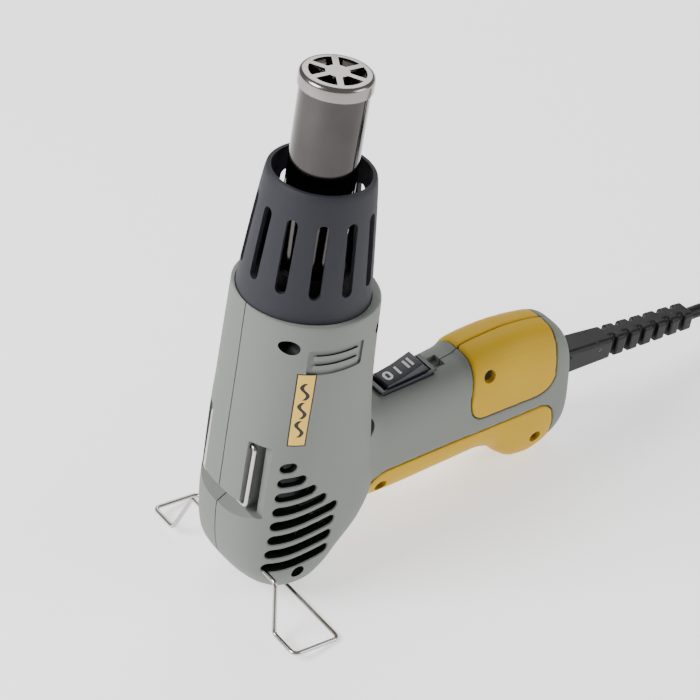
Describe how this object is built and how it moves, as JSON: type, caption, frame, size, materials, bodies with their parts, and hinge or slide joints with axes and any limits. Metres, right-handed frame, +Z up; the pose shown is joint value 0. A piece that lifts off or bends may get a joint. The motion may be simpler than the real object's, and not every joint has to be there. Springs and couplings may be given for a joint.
{
  "type": "heat gun",
  "caption": "Compact corded heat gun with a slotted heat guard, steel outlet tube, rocker switch, fold-out wire stand and wire hanging bail.",
  "frame": {"origin": "middle of the footprint of the gun without its cord, on the surface it stands on", "axes": "+Z up, +X from the barrel along the handle to the cord, +Y to the left of a user who holds it with the outlet away from them"},
  "size_m": [0.4089, 0.1531, 0.2439],
  "materials": {
    "shell_grey": "satin grey-green moulded plastic",
    "grip_gold": "soft-touch ochre plastic",
    "label_gold": "metallic gold film",
    "screw_steel": "dark zinc",
    "guard_black": "satin black heat-resistant plastic",
    "inner_plastic": "plain",
    "nozzle_chrome": "polished",
    "mica_brown": "pressed mica sheet",
    "ceramic_white": "fired, unglazed",
    "element_wire": "oxidised resistance wire",
    "wire_steel": "bright drawn",
    "brass": "plain",
    "copper": "copper winding",
    "switch_black": "satin",
    "board_green": "lacquered board",
    "rubber_black": "satin"
  },
  "bodies": {
    "housing": {"housing_right": "shell_grey", "front_grip_right": "grip_gold", "rear_grip_right": "grip_gold", "housing_left": "shell_grey", "front_grip_left": "grip_gold", "rear_grip_left": "grip_gold", "label_plate": "label_gold", "housing_screw_1": "screw_steel", "housing_screw_2": "screw_steel", "housing_screw_3": "screw_steel", "housing_screw_4": "screw_steel", "housing_screw_5": "screw_steel", "housing_screw_6": "screw_steel", "housing_screw_7": "screw_steel", "heat_shield": "guard_black", "shield_collar": "inner_plastic", "tube_flange": "screw_steel", "nozzle_tube": "nozzle_chrome", "outlet_cap": "nozzle_chrome", "mica_sleeve": "mica_brown", "heater_core": "ceramic_white", "heating_coil": "element_wire", "thermal_cutout": "inner_plastic", "motor_can": "wire_steel", "motor_end_cap": "inner_plastic", "front_bearing": "brass", "rear_bearing": "brass", "motor_magnet_1": "inner_plastic", "motor_brush_1": "inner_plastic", "motor_magnet_2": "inner_plastic", "motor_brush_2": "inner_plastic", "motor_mount": "inner_plastic", "fan_duct": "inner_plastic", "switch_case": "switch_black", "switch_terminal_1": "brass", "switch_terminal_2": "brass", "switch_terminal_3": "brass", "circuit_board": "board_green", "bridge_rectifier": "inner_plastic", "suppression_capacitor": "label_gold", "strain_relief": "rubber_black", "cable_clamp": "inner_plastic", "clamp_screw_1": "screw_steel", "clamp_screw_2": "screw_steel", "cord": "rubber_black", "cord_coil": "rubber_black", "plug_body": "rubber_black", "plug_pin_1": "brass", "plug_pin_2": "brass"},
    "rotor": {"motor_shaft": "wire_steel", "motor_armature": "copper", "commutator": "copper", "fan_impeller": "inner_plastic"},
    "rocker": {"switch_rocker": "switch_black"},
    "stand": {"stand_wire": "wire_steel"},
    "bail": {"hanging_bail": "wire_steel"}
  },
  "joints": [
    {"name": "fan_spin", "type": "hinge", "parent": "housing", "child": "rotor", "pos_m": [-0.1112, 0, 0.0016], "axis": [0.1703, 0, 0.9854], "continuous": true},
    {"name": "switch_rock", "type": "hinge", "parent": "housing", "child": "rocker", "pos_m": [-0.03633, 0, 0.07098], "axis": [0, 1, 0], "range_deg": [0, 24]},
    {"name": "stand_fold", "type": "hinge", "parent": "housing", "child": "stand", "pos_m": [-0.12401, 0, 0.02492], "axis": [0, 1, 0], "range_deg": [0, 175]},
    {"name": "bail_swing", "type": "hinge", "parent": "housing", "child": "bail", "pos_m": [-0.12139, 0, 0.08708], "axis": [0, 1, 0], "range_deg": [0, 110]}
  ]
}
